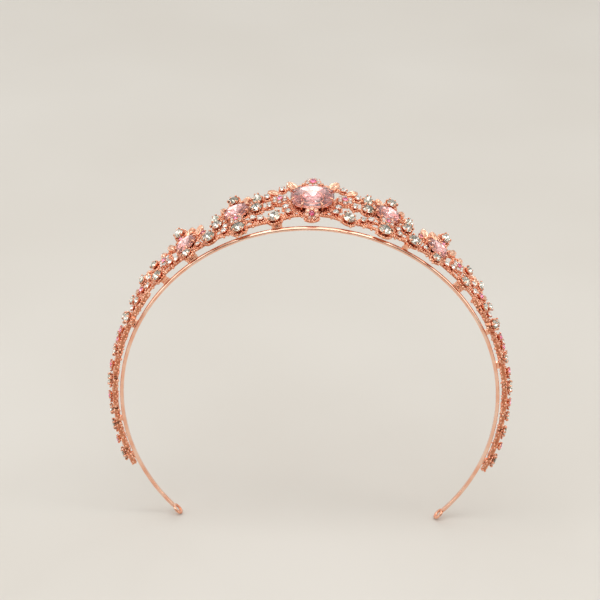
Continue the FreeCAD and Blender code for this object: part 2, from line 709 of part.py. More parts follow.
def save_stones():
    for label, side in SIDES.items():
        settings = []
        for name, entry in LARGE_CRYSTALS.items():
            stones, cups = set_stones([entry], side)
            save("crystal_" + name + "_" + label, stones)
            settings += cups
        for name, entries in STONE_GROUPS.items():
            stones, cups = set_stones(entries, side)
            save(name + "_" + label, stones)
            settings += cups
        save("settings_" + label, settings)


def save_leaves():
    for label, side in SIDES.items():
        leaves = []
        for angle, height, width, length, tilt in LEAVES:
            place = wall_placement(side * angle, height, WALL_THICKNESS - CUP_SINK, side * tilt)
            leaves.append(placed(leaf(width, length), place))
        save("leaves_" + label, leaves)


os.makedirs("parts", exist_ok=True)
save_band()
save_wall()
save_pink_stones()
save_flowers()
save_stones()
save_leaves()
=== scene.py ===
"""The looks of a bridal tiara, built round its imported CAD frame.

Lengths are in metres in the frame of the CAD model: the arch stands in the XZ plane, and the
jewelled wall rises along +Y. Each stone and leaf of the CAD model is measured, and a finer one
is built in its place, with its own setting.
"""

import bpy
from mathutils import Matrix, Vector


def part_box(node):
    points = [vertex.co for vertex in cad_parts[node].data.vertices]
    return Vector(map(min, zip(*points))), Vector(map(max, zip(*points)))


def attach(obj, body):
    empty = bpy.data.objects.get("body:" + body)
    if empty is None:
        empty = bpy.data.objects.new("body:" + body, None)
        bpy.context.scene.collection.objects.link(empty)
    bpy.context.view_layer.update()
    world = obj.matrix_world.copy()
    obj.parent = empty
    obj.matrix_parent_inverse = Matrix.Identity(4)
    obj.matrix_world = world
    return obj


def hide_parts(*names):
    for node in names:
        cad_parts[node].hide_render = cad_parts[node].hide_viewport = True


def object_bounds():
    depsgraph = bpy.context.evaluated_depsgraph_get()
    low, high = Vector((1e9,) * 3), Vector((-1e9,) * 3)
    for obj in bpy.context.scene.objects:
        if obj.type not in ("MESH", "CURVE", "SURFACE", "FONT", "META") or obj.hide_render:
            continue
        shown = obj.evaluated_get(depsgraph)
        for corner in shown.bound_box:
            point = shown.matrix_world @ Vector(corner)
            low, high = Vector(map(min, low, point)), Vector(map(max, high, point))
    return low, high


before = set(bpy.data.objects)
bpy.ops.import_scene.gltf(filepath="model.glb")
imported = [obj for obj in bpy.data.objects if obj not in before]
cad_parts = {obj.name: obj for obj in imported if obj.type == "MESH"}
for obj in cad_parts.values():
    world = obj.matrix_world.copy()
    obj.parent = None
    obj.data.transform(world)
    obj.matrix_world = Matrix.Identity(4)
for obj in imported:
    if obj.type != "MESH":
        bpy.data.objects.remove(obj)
CAD_LOW, CAD_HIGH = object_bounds()
NODE_NAMES = sorted(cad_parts)

import math
import random

import bmesh
import bpy
import numpy as np
from mathutils import Matrix, Vector
from mathutils.bvhtree import BVHTree

MM = 0.001
TINY = 4e-6                    # two points nearer than this are one
UP_WALL = Vector((0, 1, 0))
random.seed(7)

# The camera, at the height and distance of someone looking over a table.
CAMERA_ELEVATION = math.radians(26.3)
CAMERA_AZIMUTH = math.radians(1.03)
CAMERA_ROLL = math.radians(0.6)
CAMERA_DISTANCE = 0.8
CAMERA_TARGET = Vector((-3.83, 0.0, 40.29)) * MM
CAMERA_LENS = 134.2

# Small bright lamps that make the stones sparkle, and the floor, in metres.
LAMPS = [(-0.75, 0.75, 0.85), (-0.2, 1.1, 0.6), (0.45, 0.9, 0.9), (-0.35, 0.1, 1.1), (0.55, -0.1, 1.0),
         (0.16, -0.95, 0.62)]
LAMP_SIZE = (0.14, 0.14)
LAMP_ENERGY = 0.45
FLOOR_RADIUS = 4.0
FLOOR_GAP = 0.02 * MM          # the floor lies this far below the tiara

# Cut of the stones, as shares of the outline or of the height.
TABLE_SHARE = 0.56
STAR_SHARE = 0.79
PAVILION_SHARE = 0.34
CULET_SHARE = 0.06

# Metal of the settings.
LARGE_STONE = 3.25 * MM        # a stone this long, and nearly as wide, sits in an open basket
METAL_FLOOR = 0.3 * MM         # metal under each stone
METAL_EDGE = 0.26 * MM         # metal round each stone's girdle
DOME = ((0.95, 0.3), (0.7, 0.71))    # reach and radius of a stem's end rings, as shares of its radius
GALLERY_WIRE = 0.15 * MM       # radius of the ring half way up a basket
BAR_REACH = 0.6                # a stone this share of its width off the wall's metal gets a bar
BAR_RADIUS = 0.42 * MM
RIM_BEAD = 0.26 * MM           # radius of the beads round the foot of a large stone
PETAL_CLAW = 0.09 * MM         # radius of the claws and of the beads of a flower
PETAL_EDGE_BEAD = 0.2 * MM
HEART_BEAD = 0.1 * MM

BAND_CORNER = 0.22 * MM        # radius of the headband's inner corners
BAND_STEPS = 532               # steps along the headband
BAND_ROUNDED = 0.996           # it is rounded off past this share of its half length

WALL_VOXEL = 0.2 * MM          # grain of the softened openwork
GRAIN_STEP = 0.64 * MM         # least distance between two beads on the cast openwork
EDGE_STEP = 1.05 * MM          # and between the larger beads on its edge towards the headband
GRAIN_TRIES = 9                # places tried for each bead
GRAIN_BEADS = (0.26, 0.4)      # smallest and largest radius of the beads, in millimetres
EDGE_BEADS = (0.44, 0.56)
BEAD_SINK = 0.3                # share of a bead's radius that it is sunk by


def unit(vector):
    return vector / vector.length


# Measuring the CAD model

def islands(node):
    """The separate solids of a CAD node, each as (its points, its faces' normals and areas)."""
    mesh = bmesh.new()
    mesh.from_mesh(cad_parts[node].data)
    bmesh.ops.remove_doubles(mesh, verts=mesh.verts, dist=TINY)
    mesh.verts.ensure_lookup_table()
    mesh.verts.index_update()
    seen = [False] * len(mesh.verts)
    found = []
    for start in mesh.verts:
        if seen[start.index]:
            continue
        seen[start.index] = True
        members = [start]
        for vert in members:
            for edge in vert.link_edges:
                other = edge.other_vert(vert)
                if not seen[other.index]:
                    seen[other.index] = True
                    members.append(other)
        faces = {face for vert in members for face in vert.link_faces}
        faces = sorted(faces, key=lambda face: face.index)
        sides = [(face.normal.copy(), face.calc_area()) for face in faces]
        found.append(([vert.co.copy() for vert in members], sides))
    mesh.free()
    return found


def outward_axis(points, sides):
    """The wall's outward direction at a stone or leaf: its widest flat face lies along the wall."""
    groups = []
    for normal, area in sides:
        for group in groups:
            if group[0].dot(normal) > 0.9998:
                group[1] += area
                break
        else:
            groups.append([normal, area])
    flat = max(groups, key=lambda group: group[1])[0]
    middle = sum(points, Vector()) / len(points)
    radial = Vector((middle.x, 0, middle.z))
    return flat if flat.dot(radial) > 0 else -flat


def wall_frame(origin, outward):
    """A matrix whose local X runs along the arc, Y up the wall and Z outwards."""
    up = unit(UP_WALL - outward * outward.y)
    along = up.cross(outward)
    return Matrix.LocRotScale(origin, Matrix((along, up, outward)).transposed(), None)


class Stone:
    """A measured stone: its place, its girdle's corners and its heights."""

    def __init__(self, points, sides):
        outward = outward_axis(points, sides)
        rough = wall_frame(sum(points, Vector()) / len(points), outward)
        local = [rough.inverted() @ point for point in points]
        reach = max(point.xy.length for point in local)
        widest = [point.z for point in local if point.xy.length > reach - 5 * TINY]
        level = (max(widest) + min(widest)) / 2
        ring = [point for point in local if abs(point.z - max(widest)) < TINY]
        middle = sum(ring, Vector()) / len(ring)
        self.place = wall_frame(rough @ Vector((middle.x, middle.y, level)), outward)
        corners = [Vector((point.x - middle.x, point.y - middle.y)) for point in ring]
        corners.sort(key=lambda corner: math.atan2(corner.x, corner.y))
        far = max(range(len(corners)), key=lambda index: round(corners[index].length / TINY))
        self.corners = corners[far:] + corners[:far]
        self.girdle = (max(widest) - min(widest)) / 2
        self.crown = max(point.z for point in local) - level
        self.depth = level - min(point.z for point in local)
        self.width = 2 * min(corner.length for corner in corners)
        self.size = 2 * max(corner.length for corner in corners)


def stones(node):
    return [Stone(points, sides) for points, sides in islands(node)]


def nearest(found, spot):
    """The stone nearest to a point."""
    return min(found, key=lambda stone: (stone.place.translation - spot).length)


def smooth_ring(corners, count, shift=0.0):
    """Points of a smooth closed line through the corners; a sharp corner stays sharp."""
    total = len(corners)
    arriving = []
    leaving = []
    for index in range(total):
        before = corners[index] - corners[index - 1]
        after = corners[(index + 1) % total] - corners[index]
        sharp = before.angle(after) > math.radians(60)
        arriving.append(before if sharp else (before + after) / 2)
        leaving.append(after if sharp else (before + after) / 2)
    points = []
    for step in range(count):
        spot = (step + shift) * total / count
        index = int(spot) % total
        share = spot - int(spot)
        square = share * share
        cube = square * share
        following = (index + 1) % total
        near = (corners[index] * (2 * cube - 3 * square + 1)
                + leaving[index] * (cube - 2 * square + share))
        far = (corners[following] * (3 * square - 2 * cube)
               + arriving[following] * (cube - square))
        points.append(near + far)
    return points


def ring_normals(ring):
    """Outward directions at the points of a closed line that runs clockwise from +Y."""
    normals = []
    for index in range(len(ring)):
        run = ring[(index + 1) % len(ring)] - ring[index - 1]
        normals.append(unit(Vector((-run.y, run.x))))
    return normals


# Building meshes from small forms

class Pile:
    """One mesh, grown from many small closed forms."""

    def __init__(self):
        self.blocks = []
        self.total = 0
        self.faces = []
        self.looks = []
        self.tones = []

    def add(self, form, place=None, look=0, looks=None, scale=1.0):
        points, faces = form
        block = np.array(points, dtype=float) * scale
        if place is not None:
            matrix = np.array(place)
            block = block @ matrix[:3, :3].T + matrix[:3, 3]
        self.blocks.append(block)
        start = self.total
        for face in faces:
            self.faces.append([start + corner for corner in face])
        self.looks += looks if looks else [look] * len(faces)
        self.tones += [random.random() for face in faces]
        self.total += len(block)

    def piece(self, name, materials, smooth, slot, *nodes):
        """The forms as one mesh, which stays within the CAD model's box."""
        mesh = bpy.data.meshes.new(name)
        points = np.clip(np.concatenate(self.blocks), CAD_LOW, CAD_HIGH)
        mesh.from_pydata(points.tolist(), [], self.faces)
        for material in materials:
            mesh.materials.append(material)
        mesh.polygons.foreach_set("material_index", self.looks)
        mesh.polygons.foreach_set("use_smooth", [smooth] * len(self.faces))
        tone = mesh.attributes.new("tone", "FLOAT", "FACE")
        tone.data.foreach_set("value", self.tones)
        mesh.update()
        return shown(name, mesh, slot, *nodes)


def shown(name, mesh, slot, *nodes):
    """A mesh as a piece that rides with the tiara and stands for CAD nodes."""
    piece = bpy.data.objects.new(name, mesh)
    bpy.context.scene.collection.objects.link(piece)
    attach(piece, "root")
    if nodes:
        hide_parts(*nodes)
    return piece


def ball_form():
    """A ball of radius 1."""
    mesh = bmesh.new()
    bmesh.ops.create_icosphere(mesh, subdivisions=2, radius=1.0)
    mesh.verts.index_update()
    points = [tuple(vert.co) for vert in mesh.verts]
    faces = [[vert.index for vert in face.verts] for face in mesh.faces]
    mesh.free()
    return points, faces


BALL = ball_form()


def bead(pile, centre, radius):
    pile.add(BALL, Matrix.Translation(centre), scale=radius)


def band_of_rings(rings, closed):
    """Quads between neighbouring rings of equal length; closed joins the last ring to the first."""
    count = len(rings[0])
    faces = []
    for level in range(len(rings) if closed else len(rings) - 1):
        low = level * count
        high = (level + 1) % len(rings) * count
        for step in range(count):
            after = (step + 1) % count
            faces.append([low + step, high + step, high + after, low + after])
    return faces


def collar(ring, profile):
    """A closed band of metal that follows an outline; profile is (share, margin, level) all round."""
    normals = ring_normals(ring)
    rings = []
    for share, margin, level in profile:
        line = []
        for point, normal in zip(ring, normals):
            x = point.x * share + normal.x * margin
            y = point.y * share + normal.y * margin
            line.append((x, y, level))
        rings.append(line)
    return [point for line in rings for point in line], band_of_rings(rings, True)


def stem(path, radii, side, around=8):
    """A round stem along a bend in one plane, with domed ends; side is square to that plane."""
    rings = []
    last = len(path) - 1
    for index, (spot, radius) in enumerate(zip(path, radii)):
        run = unit(path[min(index + 1, last)] - path[max(index - 1, 0)])
        rings.append((spot, radius, run))
    start, radius, run = rings[0]
    end, end_radius, end_run = rings[-1]
    domed = [(start - run * radius * reach, radius * share, run) for reach, share in DOME]
    domed += rings
    domed += [(end + end_run * end_radius * reach, end_radius * share, end_run)
              for reach, share in reversed(DOME)]
    points = []
    for spot, radius, run in domed:
        across = side.cross(run)
        for step in range(around):
            turn = 2 * math.pi * step / around
            points.append(tuple(spot + (side * math.cos(turn) + across * math.sin(turn)) * radius))
    faces = band_of_rings([[0] * around] * len(domed), False)
    faces.append(list(range(around)))
    faces.append([len(points) - 1 - step for step in range(around)])
    return points, faces


def oriented(form):
    """The same form with every face turned outwards."""
    mesh = bmesh.new()
    verts = [mesh.verts.new(point) for point in form[0]]
    for face in form[1]:
        mesh.faces.new([verts[corner] for corner in face])
    bmesh.ops.recalc_face_normals(mesh, faces=mesh.faces)
    mesh.verts.index_update()
    faces = [[vert.index for vert in face.verts] for face in mesh.faces]
    mesh.free()
    return form[0], faces


# Stones

GLASS, FOIL = 0, 1


def brilliant(stone, mains):
    """A stone cut with a table, stars, kites and halves above, and mains and halves below."""
    ring = smooth_ring(stone.corners, 2 * mains)
    lean = math.cos(math.pi / mains)
    crown_slope = (stone.crown - stone.girdle) / (1 - TABLE_SHARE)
    star_level = stone.crown - crown_slope * (STAR_SHARE * lean - TABLE_SHARE)
    depth_slope = stone.depth - stone.girdle
    belly_level = -stone.depth + depth_slope * PAVILION_SHARE * lean
    culet_level = -stone.depth + depth_slope * CULET_SHARE
    levels = [
        (ring[0::2], TABLE_SHARE, stone.crown),
        (ring[1::2], STAR_SHARE, star_level),
        (ring, 1.0, stone.girdle),
        (ring, 1.0, -stone.girdle),
        (ring[1::2], PAVILION_SHARE, belly_level),
        (ring[0::2], CULET_SHARE, culet_level),
    ]
    points = []
    starts = []
    for line, share, level in levels:
        starts.append(len(points))
        points += [(point.x * share, point.y * share, level) for point in line]
    table, star, high, low, belly, culet = starts
    faces = [[table + step for step in range(mains)]]
    for step in range(mains):
        after = (step + 1) % mains
        before = (step - 1) % mains
        main = 2 * step
        half = main + 1
        following = (main + 2) % (2 * mains)
        faces.append([table + step, table + after, star + step])
        faces.append([table + step, star + step, high + main, star + before])
        faces.append([star + step, high + half, high + main])
        faces.append([star + step, high + following, high + half])
        faces.append([high + main, high + half, low + half, low + main])
        faces.append([high + half, high + following, low + following, low + half])
    glass_faces = len(faces)
    for step in range(mains):
        after = (step + 1) % mains
        before = (step - 1) % mains
        main = 2 * step
        half = main + 1
        following = (main + 2) % (2 * mains)
        faces.append([low + main, low + half, belly + step])
        faces.append([low + half, low + following, belly + step])
        faces.append([low + main, belly + step, culet + step, belly + before])
        faces.append([culet + step, belly + step, culet + after])
    faces.append([culet + step for step in reversed(range(mains))])
    looks = [GLASS] * glass_faces + [FOIL] * (len(faces) - glass_faces)
    form = oriented((points, faces))
    return form, looks


def cut_stones(node, glass, foil, slot, mains, crown_share=1.0):
    """Every stone of a CAD node, cut again with finer facets and, if asked, a taller crown."""
    pile = Pile()
    found = stones(node)
    for stone in found:
        stone.crown *= crown_share
        form, looks = brilliant(stone, mains)
        pile.add(form, stone.place, looks=looks)
    pile.piece(node + "_cut", [glass, foil], False, slot, node)
    return found


# Settings

def claw_at(pile, stone, turn, radius, low, share_low):
    """A tapered claw from the foot of a setting, bent over the stone's edge."""
    point = smooth_ring(stone.corners, 1, turn)[0]
    nearby = smooth_ring(stone.corners, 1, turn + 0.004)[0]
    run = unit(nearby - point)
    normal = Vector((-run.y, run.x))
    if normal.dot(point) < 0:
        normal = -normal
    top = stone.crown * 0.62
    rises = [
        (share_low, METAL_EDGE * 0.9, low),
        (0.55 + 0.45 * share_low, METAL_EDGE * 0.75, 0.55 * low),
        (1.0, METAL_EDGE * 0.8, -2 * stone.girdle),
        (1.0, METAL_EDGE * 0.75, 0.25 * stone.crown),
        (0.97, METAL_EDGE * 0.2, top),
        (0.90, 0.0, top + 0.04 * stone.crown),
    ]
    path = []
    for share, margin, level in rises:
        spot = point * share + normal * margin
        path.append(Vector((spot.x, spot.y, level)))
    radii = [radius * part for part in (0.8, 0.85, 0.95, 1.05, 1.1, 1.0)]
    side = Vector((-normal.y, normal.x, 0))
    pile.add(oriented(stem(path, radii, side)), stone.place)


def cup(pile, stone):
    """The closed collar and four claws of a small stone."""
    ring = smooth_ring(stone.corners, 20)
    floor = -stone.depth - METAL_FLOOR
    profile = [
        (0.5, 0.0, floor),
        (0.66, 0.06 * MM, floor),
        (0.82, 0.14 * MM, -0.55 * stone.depth),
        (1.0, 0.12 * MM, -0.3 * stone.depth),
        (1.0, 0.16 * MM, -0.16 * stone.depth),
        (1.0, 0.12 * MM, -0.02 * stone.depth),
        (1.0, 0.03 * MM, 0.0),
        (1.0, 0.02 * MM, -stone.girdle),
        (0.5, 0.02 * MM, -0.6 * stone.depth),
    ]
    pile.add(oriented(collar(ring, profile)), stone.place)
    for step in range(4):
        claw_at(pile, stone, (step + 0.5) / 4, 0.13 * MM + 0.022 * stone.width, -0.3 * stone.depth, 1.0)


def foot_bar(pile, stone, wall):
    """A bar from a stone's foot to the nearest metal of the wall, where the stone stands beside it."""
    foot = stone.place @ Vector((0, 0, -stone.depth - METAL_FLOOR / 2))
    run = wall.find_nearest(foot)[0] - foot
    if run.length > BAR_REACH * stone.width:
        side = unit(run.cross(stone.place.col[2].xyz))
        path = [foot - 0.2 * run, foot + 0.5 * run, foot + 1.2 * run]
        pile.add(oriented(stem(path, [BAR_RADIUS] * 3, side)))


def basket(pile, stone, claws):
    """The open basket of a large stone: a foot ring, a gallery ring and long claws."""
    ring = smooth_ring(stone.corners, 40)
    floor = -stone.depth - METAL_FLOOR
    rim = -0.62 * stone.depth
    rim_share = 0.42
    foot = [
        (0.26, 0.0, floor),
        (0.36, 0.0, floor),
        (0.40, 0.12 * MM, 0.5 * (floor + rim)),
        (rim_share, 0.30 * MM, rim - 0.05 * MM),
        (rim_share, 0.26 * MM, rim + 0.10 * MM),
        (rim_share, 0.10 * MM, rim + 0.08 * MM),
        (0.26, 0.0, floor + 0.3 * MM),
    ]
    pile.add(oriented(collar(ring, foot)), stone.place)
    gallery = []
    for step in range(8):
        turn = 2 * math.pi * step / 8
        margin = 0.14 * MM + GALLERY_WIRE * math.cos(turn)
        level = -0.26 * stone.depth + GALLERY_WIRE * math.sin(turn)
        gallery.append((0.8, margin, level))
    pile.add(oriented(collar(ring, gallery)), stone.place)
    radius = 0.19 * MM + 0.026 * min(stone.width, 6 * MM)
    for step in range(claws):
        claw_at(pile, stone, (step + 0.5) / claws, radius, floor + radius, 0.36)


def pearled_rim(pile, stone, margin, level, radius):
    """A row of small beads that follows a stone's outline."""
    ring = smooth_ring(stone.corners, 200)
    length = sum((ring[index] - ring[index - 1]).length for index in range(len(ring)))
    count = int(length / (2.15 * radius))
    normals = ring_normals(ring)
    for step in range(count):
        index = int(step * len(ring) / count)
        spot = ring[index] + normals[index] * margin
        bead(pile, stone.place @ Vector((spot.x, spot.y, level)), radius)


def leaf_form(width, length, height):
    """A pointed leaf with a rolled edge, a hollow face and a midrib; its underside is level 0."""
    steps = 24
    across = 16
    top = []
    for step in range(steps + 1):
        turn = math.pi * step / steps
        half = abs(math.sin(turn)) ** 1.5 * width / 2 + 0.02 * MM
        along = math.cos(turn) * length / 2
        for column in range(across + 1):
            spread = 2 * column / across - 1
            rim = math.exp(-((abs(spread) - 0.8) / 0.16) ** 2)
            rib = math.exp(-(spread / 0.16) ** 2)
            rise = 0.34 + 0.3 * (1 - spread * spread) + 0.3 * rim + 0.28 * rib * math.sin(turn)
            level = height * min(rise, 1.0) * (0.4 + 0.6 * math.sin(turn) ** 0.7)
            top.append((half * spread, along, level))
    bottom = [(x, y, 0.0) for x, y, level in top]
    count = (steps + 1) * (across + 1)
    faces = []
    for step in range(steps):
        for column in range(across):
            low = step * (across + 1) + column
            high = low + across + 1
            faces.append([low, low + 1, high + 1, high])
            faces.append([count + low, count + high, count + high + 1, count + low + 1])
    for step in range(steps):
        for column, turned in ((0, False), (across, True)):
            low = step * (across + 1) + column
            high = low + across + 1
            side = [low, high, count + high, count + low]
            faces.append(side[::-1] if turned else side)
    for row in (0, steps):
        for column in range(across):
            low = row * (across + 1) + column
            faces.append([low, low + 1, count + low + 1, count + low])
    return oriented((top + bottom, faces))


def leaves(node, material):
    pile = Pile()
    for points, sides in islands(node):
        outward = outward_axis(points, sides)
        rough = wall_frame(sum(points, Vector()) / len(points), outward)
        local = [rough.inverted() @ point for point in points]
        base = min(point.z for point in local)
        height = max(point.z for point in local) - base
        edge = [point.xy for point in local if point.z < base + TINY]
        tip = max(edge, key=lambda point: point.length)
        other = max(edge, key=lambda point: (point - tip).length)
        middle = (tip + other) / 2
        direction = unit(tip - other if tip.y > other.y else other - tip)
        side = Vector((direction.y, -direction.x))
        width = 2 * max(abs((point - middle).dot(side)) for point in edge)
        turn = Matrix.Rotation(-math.atan2(direction.x, direction.y), 4, "Z")
        place = rough @ Matrix.Translation((middle.x, middle.y, base)) @ turn
        pile.add(leaf_form(width, (tip - other).length, height), place)
    pile.piece(node + "_polished", [material], True, "rose_gold_leaf", node)


# Flowers

def flower(node, heart, petals, material):
    """A cast flower: a scalloped back, a collar round each petal stone and beads between them."""
    pile = Pile()
    home = heart.place
    spots = sorted((home.inverted() @ petal.place.translation for petal in petals),
                   key=lambda spot: math.atan2(spot.x, spot.y))
    reach = sum(spot.xy.length for spot in spots) / len(spots)
    width = petals[0].size
    level = spots[0].z
    floor = level - petals[0].depth - METAL_FLOOR
    back = []
    for step in range(20 * len(spots)):
        turn = 2 * math.pi * step / (20 * len(spots))
        lobe = abs(math.cos(len(spots) * (turn - math.atan2(spots[0].x, spots[0].y)) / 2)) ** 0.8
        radius = reach + width * (0.3 + 0.24 * lobe)
        back.append(Vector((radius * math.sin(turn), radius * math.cos(turn))))
    plate = [
        (0.1, 0.0, floor),
        (1.0, -0.12 * MM, floor),
        (1.0, 0.0, floor + 0.15 * MM),
        (1.0, 0.0, floor + 0.4 * MM),
        (1.0, -0.12 * MM, floor + 0.55 * MM),
        (0.1, 0.0, floor + 0.6 * MM),
    ]
    pile.add(oriented(collar(back, plate)), home)
    for petal in petals:
        ring = smooth_ring(petal.corners, 20)
        profile = [
            (0.5, 0.0, -petal.depth - METAL_FLOOR),
            (0.9, 0.1 * MM, -petal.depth - METAL_FLOOR),
            (1.0, 0.1 * MM, -0.5 * petal.depth),
            (1.0, 0.1 * MM, -0.3 * petal.depth),
            (1.0, 0.05 * MM, -0.2 * petal.depth),
            (0.85, 0.0, -0.3 * petal.depth),
            (0.5, 0.015 * MM, -0.6 * petal.depth),
        ]
        pile.add(oriented(collar(ring, profile)), petal.place)
        for step in range(3):
            claw_at(pile, petal, (step + 0.5) / 3, PETAL_CLAW, -0.4 * petal.depth, 1.0)
    count = len(spots)
    for index, spot in enumerate(spots):
        following = spots[(index + 1) % count]
        between = unit((spot + following).xy)
        outer_bead = (reach + 0.38 * width, 0.05, 0.15)
        inner_bead = (reach - 0.46 * width, 0.15, 0.11)
        for distance, rise, radius in (outer_bead, inner_bead):
            centre = Vector((between.x * distance, between.y * distance, level + rise * MM))
            bead(pile, home @ centre, radius * MM)
        outside = unit(spot.xy)
        for turn in (-0.3, -0.1, 0.1, 0.3):
            spread = Matrix.Rotation(turn * 2 * math.pi / count, 2)
            edge = spread @ outside * (reach + width * (0.6 - 0.9 * turn * turn))
            bead(pile, home @ Vector((edge.x, edge.y, floor + 0.42 * MM)), PETAL_EDGE_BEAD)
    ring = smooth_ring(heart.corners, 24)
    tower = [
        (0.5, 0.0, floor),
        (1.0, 0.14 * MM, floor),
        (1.0, 0.1 * MM, 0.0),
        (1.0, 0.05 * MM, 0.2 * heart.crown),
        (1.0, 0.015 * MM, 0.1 * heart.crown),
        (1.0, 0.015 * MM, -heart.girdle),
        (0.5, 0.015 * MM, -0.6 * heart.depth),
    ]
    pile.add(oriented(collar(ring, tower)), home)
    for step in range(6):
        turn = 2 * math.pi * (step + 0.5) / 6
        distance = heart.size / 2 + 0.05 * MM
        centre = Vector((distance * math.sin(turn), distance * math.cos(turn), 0.2 * heart.crown))
        bead(pile, home @ centre, HEART_BEAD)
    pile.piece(node + "_cast", [material], True, "rose_gold_setting", node)


# Headband, eyelets and struts

def headband(material):
    """The polished half-round band: flat inside, domed outside, its corners softened."""
    low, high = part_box("headband")
    half_width = (high.y - low.y) / 2
    outer = high.z
    points = [vert.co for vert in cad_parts["headband"].data.vertices]
    inner = min(Vector((point.x, point.z)).length for point in points)
    end = max(math.atan2(point.x, point.z) for point in points)
    edges = [point for point in points if abs(point.y) > half_width - TINY]
    dome = outer - max(Vector((point.x, point.z)).length for point in edges)
    dome_radius = (half_width * half_width + dome * dome) / (2 * dome)
    spread = math.asin(half_width / dome_radius)
    profile = []
    for step in range(25):
        turn = spread * (1 - step / 12)
        profile.append((dome_radius * math.sin(turn), outer - dome_radius * (1 - math.cos(turn))))
    corner = []
    for turn in (0, 30, 60, 90):
        angle = math.radians(turn)
        y = -half_width + BAND_CORNER * (1 - math.cos(angle))
        corner.append((y, inner + BAND_CORNER * (1 - math.sin(angle))))
    profile += corner + [(-y, radius) for y, radius in reversed(corner)]
    middle = (inner + outer) / 2
    rings = []
    for step in range(BAND_STEPS + 1):
        along = 2 * step / BAND_STEPS - 1
        turn = end * along
        beyond = max(0.0, abs(along) - BAND_ROUNDED) / (1 - BAND_ROUNDED)
        share = math.sqrt(1 - 0.7 * beyond * beyond)
        ring = []
        for y, radius in profile:
            at = middle + (radius - middle) * share
            ring.append((at * math.sin(turn), y * share, at * math.cos(turn)))
        rings.append(ring)
    faces = band_of_rings(rings, False)
    count = len(profile)
    faces.append(list(range(count)))
    faces.append([len(rings) * count - 1 - step for step in range(count)])
    pile = Pile()
    pile.add(oriented(([point for ring in rings for point in ring], faces)))
    piece = pile.piece("headband_strip", [material], True, "rose_gold_polished", "headband")
    layer = piece.data.uv_layers.new(name="along")
    for polygon in piece.data.polygons:
        for loop in polygon.loop_indices:
            x, y, z = piece.data.vertices[piece.data.loops[loop].vertex_index].co
            layer.data[loop].uv = (math.atan2(x, z) * inner / MM, y / MM + math.hypot(x, z) / MM)


def eyelet(node, material):
    """A flat ring with rounded edges at the end of the headband."""
    low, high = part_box(node)
    points = [vert.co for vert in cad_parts[node].data.vertices]
    rim = (high.y - low.y) / 2
    hole = min(point.y for point in points if point.y > 0.5 * rim)
    middle = sum((point for point in points if abs(abs(point.y) - rim) < TINY), Vector())
    out = unit(Vector((middle.x, 0, middle.z)))
    across = Vector((out.z, 0, -out.x))
    levels = [point.dot(out) for point in points]
    level = (max(levels) + min(levels)) / 2
    thickness = (max(levels) - min(levels)) / 2
    radius = (rim + hole) / 2
    half = (rim - hole) / 2
    rings = []
    for step in range(16):
        turn = 2 * math.pi * step / 16
        spread = math.copysign(abs(math.cos(turn)) ** 0.6, math.cos(turn)) * half
        rise = math.copysign(abs(math.sin(turn)) ** 0.6, math.sin(turn)) * thickness
        ring = []
        for around in range(48):
            angle = 2 * math.pi * around / 48
            spot = across * ((radius + spread) * math.cos(angle)) + out * (level + rise)
            spot.y = (radius + spread) * math.sin(angle)
            ring.append(tuple(spot))
        rings.append(ring)
    pile = Pile()
    pile.add(oriented(([point for ring in rings for point in ring], band_of_rings(rings, True))))
    pile.piece(node + "_ring", [material], True, "rose_gold_polished", node)


def softened(node, suffix, material, slot, modifiers):
    """A finer copy of a CAD solid, after the given modifiers."""
    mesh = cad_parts[node].data.copy()
    work = bmesh.new()
    work.from_mesh(mesh)
    bmesh.ops.remove_doubles(work, verts=work.verts, dist=TINY)
    work.to_mesh(mesh)
    work.free()
    if "custom_normal" in mesh.attributes:
        mesh.attributes.remove(mesh.attributes["custom_normal"])
    source = bpy.data.objects.new("source", mesh)
    bpy.context.scene.collection.objects.link(source)
    for kind, values in modifiers:
        modifier = source.modifiers.new(kind.lower(), kind)
        for key, value in values.items():
            setattr(modifier, key, value)
    bpy.context.view_layer.update()
    evaluated = source.evaluated_get(bpy.context.evaluated_depsgraph_get())
    final = bpy.data.meshes.new_from_object(evaluated)
    bpy.data.objects.remove(source)
    final.materials.clear()
    final.materials.append(material)
    final.polygons.foreach_set("use_smooth", [True] * len(final.polygons))
    return shown(node + suffix, final, slot, node)


# Cast openwork

def wall_surface():
    """The surface of the whole wall, to find its nearest point."""
    points = []
    triangles = []
    for node in NODE_NAMES:
        if node.startswith("wall_"):
            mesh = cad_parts[node].data
            mesh.calc_loop_triangles()
            start = len(points)
            points += [vert.co.copy() for vert in mesh.vertices]
            for triangle in mesh.loop_triangles:
                triangles.append([start + corner for corner in triangle.vertices])
    return BVHTree.FromPolygons(points, triangles)


